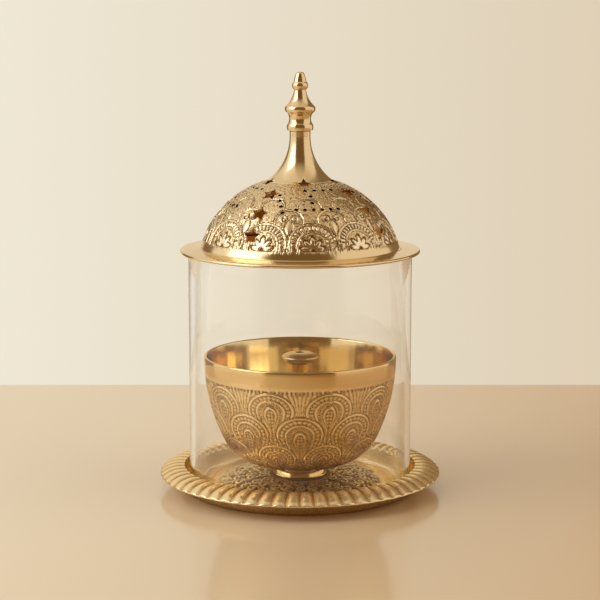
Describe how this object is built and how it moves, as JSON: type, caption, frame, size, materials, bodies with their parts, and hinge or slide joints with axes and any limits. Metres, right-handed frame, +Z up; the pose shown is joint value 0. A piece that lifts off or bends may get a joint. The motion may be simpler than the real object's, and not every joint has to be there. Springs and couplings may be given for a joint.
{
  "type": "akhand diya",
  "caption": "Brass oil lamp: chased oil bowl with a wick holder on a fluted tray, inside a clear glass chimney under a pierced dome lid with a finial.",
  "frame": {"origin": "centre of the ring on the tray's underside that the lamp stands on", "axes": "+Z up the lamp's axis towards the finial, -Y towards the front"},
  "size_m": [0.14, 0.14, 0.2071],
  "materials": {
    "polished_brass": "polished, pale gold",
    "chased_brass": "chased and polished, darker in the hollows",
    "glass": "clear, smooth",
    "steel": "zinc plated",
    "rubber": "matt, oil resistant"
  },
  "bodies": {
    "base": {"tray": "polished_brass", "collar": "polished_brass", "bowl_foot": "polished_brass", "bowl": "chased_brass", "centre_bolt": "steel", "bolt_washer": "steel", "oil_seal": "rubber", "wick_socket": "polished_brass"},
    "wick_holder": {"wick_stem": "polished_brass", "wick_cap": "polished_brass"},
    "chimney": {"glass_chimney": "glass"},
    "lid": {"lid_flange": "polished_brass", "locating_ring": "polished_brass", "lid_dome": "chased_brass", "finial": "polished_brass"}
  },
  "joints": [
    {"name": "chimney_lift", "type": "slide", "parent": "base", "child": "chimney", "axis": [0, 0, 1], "range_m": [0, 0.09]},
    {"name": "lid_lift", "type": "slide", "parent": "chimney", "child": "lid", "axis": [0, 0, 1], "range_m": [0, 0.08]},
    {"name": "wick_holder_lift", "type": "slide", "parent": "base", "child": "wick_holder", "axis": [0, 0, 1], "range_m": [0, 0.06]}
  ]
}
